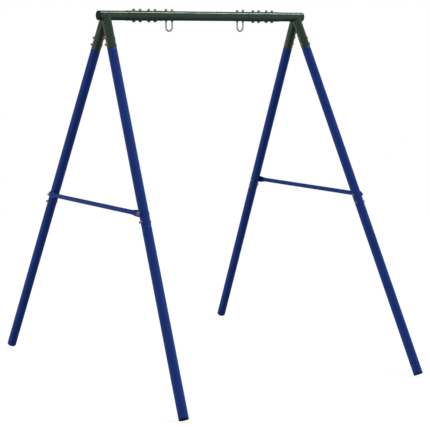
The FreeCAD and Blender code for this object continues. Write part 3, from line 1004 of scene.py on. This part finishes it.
def leg(side_name, end_name, green, blue, black):
    """One leg from its socket on the beam down to its foot cap."""
    axes = leg_axes(side_name, end_name)
    corner = side_name + "_" + end_name
    socket_bolts = bolt_places(side_name, "socket", axes)
    lap_bolts = bolt_places(side_name, "crossbar", axes) + bolt_places(side_name, "leg_joint", axes)
    _, socket_end = span(corner + "_leg_socket", axes)
    _, upper_end = span(corner + "_upper_leg", axes)
    _, foot = span(corner + "_foot_cap", axes)
    stake = float(axes.back(np.array(MOUNTS[corner + "_stake_hole"]["pos_m"]))[2])
    leg_socket(corner + "_leg_socket", axes, socket_bolts, green)
    leg_tube(corner + "_upper_leg", axes, socket_end, socket_bolts + lap_bolts, None, blue)
    leg_tube(corner + "_lower_leg", axes, upper_end, lap_bolts, stake, blue)
    cap_axes = Axes(axes.out([0, 0, foot]), axes.x, -axes.z)
    end_plug(corner + "_foot_cap", cap_axes, FOOT_FLANGE, FOOT_EDGE_ROUND, black)


def a_frame(side_name, green, blue, black, zinc):
    """Two legs with their welds, the crossbar between them, and the bolts through them."""
    bolt_axes = []
    for end_name, end in ENDS.items():
        leg(side_name, end_name, green, blue, black)
        axes = leg_axes(side_name, end_name)
        bolt_axes.append(Axes([0, end, 0], axes.y, axes.x))
    apex_welds(side_name, green)
    crossbar(side_name, blue)
    for group in ("socket", "crossbar", "leg_joint"):
        fastener_set(side_name, group, bolt_axes, zinc)


# ------------------------ studio

def camera():
    """Camera at the photo's angle."""
    data = bpy.data.cameras.new("camera")
    data.lens = CAMERA_LENS
    data.sensor_width = CAMERA_SENSOR
    data.clip_end = CAMERA_RANGE
    item = in_scene("camera", data)
    item.location = CAMERA_AT
    item.rotation_euler = (math.radians(90 + CAMERA_PITCH), 0, math.radians(-CAMERA_YAW))
    bpy.context.scene.camera = item


def unit(azimuth, elevation):
    """Direction of length one, with the azimuth from +Y towards +X."""
    azimuth, elevation = math.radians(azimuth), math.radians(elevation)
    flat = math.cos(elevation)
    return (math.sin(azimuth) * flat, math.cos(azimuth) * flat, math.sin(elevation))


def surroundings():
    """White to the eye. As light, soft panels all round and two strips overhead."""
    world = bpy.data.worlds.new("studio")
    bpy.context.scene.world = world
    world.use_nodes = True
    tree = world.node_tree
    tree.nodes.clear()

    def step(kind, operation, *inputs):
        node = tree.nodes.new(kind)
        node.operation = operation
        for socket, value in zip(node.inputs, inputs):
            if isinstance(value, bpy.types.NodeSocket):
                tree.links.new(value, socket)
            else:
                socket.default_value = value
        return node.outputs["Value"]

    direction = tree.nodes.new("ShaderNodeTexCoord").outputs["Generated"]
    total = AMBIENT
    for azimuth, elevation, radiance in PANELS:
        towards = step("ShaderNodeVectorMath", "DOT_PRODUCT", direction, unit(azimuth, elevation))
        fall = step("ShaderNodeMath", "MULTIPLY_ADD", towards, PANEL_FOCUS, -PANEL_FOCUS)
        light = step("ShaderNodeMath", "EXPONENT", fall)
        total = step("ShaderNodeMath", "MULTIPLY_ADD", light, radiance, total)
    parts = tree.nodes.new("ShaderNodeSeparateXYZ")
    tree.links.new(direction, parts.inputs[0])
    across = step("ShaderNodeMath", "ARCTAN2", parts.outputs["Y"], parts.outputs["Z"])
    across = step("ShaderNodeMath", "ADD", across, math.radians(STRIP_TILT))
    across = step("ShaderNodeMath", "ABSOLUTE", across)
    along = step("ShaderNodeMath", "ARCTAN2", parts.outputs["X"], parts.outputs["Z"])

    def within(angle, half, soft):
        """1 inside an angle from the middle, fading to 0 outside it."""
        edge = tree.nodes.new("ShaderNodeMapRange")
        edge.interpolation_type = "SMOOTHSTEP"
        edge.inputs["From Min"].default_value = math.radians(half - soft)
        edge.inputs["From Max"].default_value = math.radians(half + soft)
        edge.inputs["To Min"].default_value = 1.0
        edge.inputs["To Max"].default_value = 0.0
        tree.links.new(angle, edge.inputs["Value"])
        return edge.outputs["Result"]

    inside = within(across, STRIP_HALF, STRIP_SOFT)
    for middle, reach, radiance in STRIPS:
        offset = step("ShaderNodeMath", "SUBTRACT", along, math.radians(middle))
        ends = within(step("ShaderNodeMath", "ABSOLUTE", offset), reach, STRIP_END_SOFT)
        strip = step("ShaderNodeMath", "MULTIPLY", inside, ends)
        total = step("ShaderNodeMath", "MULTIPLY_ADD", strip, radiance, total)
    glow = tree.nodes.new("ShaderNodeBackground")
    tree.links.new(total, glow.inputs["Strength"])
    seen = tree.nodes.new("ShaderNodeBackground")
    seen.inputs["Color"].default_value = (1, 1, 1, 1)
    choose = tree.nodes.new("ShaderNodeMixShader")
    tree.links.new(tree.nodes.new("ShaderNodeLightPath").outputs["Is Camera Ray"], choose.inputs["Fac"])
    tree.links.new(glow.outputs["Background"], choose.inputs[1])
    tree.links.new(seen.outputs["Background"], choose.inputs[2])
    tree.links.new(choose.outputs["Shader"], tree.nodes.new("ShaderNodeOutputWorld").inputs["Surface"])


def floor():
    """Pale floor that glows like a light table, so shadows on it stay faint."""
    mesh = bpy.data.meshes.new("floor")
    rim = [(FLOOR_RADIUS * math.cos(turn), FLOOR_RADIUS * math.sin(turn), 0) for turn in turns(FLOOR_SIDES)]
    mesh.from_pydata(rim, [], [tuple(range(FLOOR_SIDES))])
    material = bpy.data.materials.new("floor")
    material.use_nodes = True
    shader = material.node_tree.nodes["Principled BSDF"]
    shader.inputs["Base Color"].default_value = (FLOOR_COLOUR, FLOOR_COLOUR, FLOOR_COLOUR, 1)
    shader.inputs["Roughness"].default_value = 0.9
    shader.inputs["Specular IOR Level"].default_value = 0.0
    shader.inputs["Emission Color"].default_value = (1, 1, 1, 1)
    shader.inputs["Emission Strength"].default_value = FLOOR_GLOW
    mesh.materials.append(material)
    item = in_scene("floor", mesh)
    item.visible_diffuse = False
    item.visible_glossy = False
    item.visible_shadow = False


def studio():
    """Light, floor and camera."""
    bpy.context.scene.view_settings.view_transform = "Standard"
    surroundings()
    floor()
    camera()


def main():
    green = green_paint()
    blue = blue_paint()
    black = black_plastic()
    # The second zinc is the same plate at half the lightness and rougher: painted shade for the bolts.
    zinc = {"bright": zinc_plate("zinc_plate", 1.0, 0.40),
            "shade_painted": zinc_plate("shade_painted_zinc_plate", 0.50, 0.52)}
    beam(green, black, zinc)
    for side_name in SIDES:
        a_frame(side_name, green, blue, black, zinc)
    studio()


main()
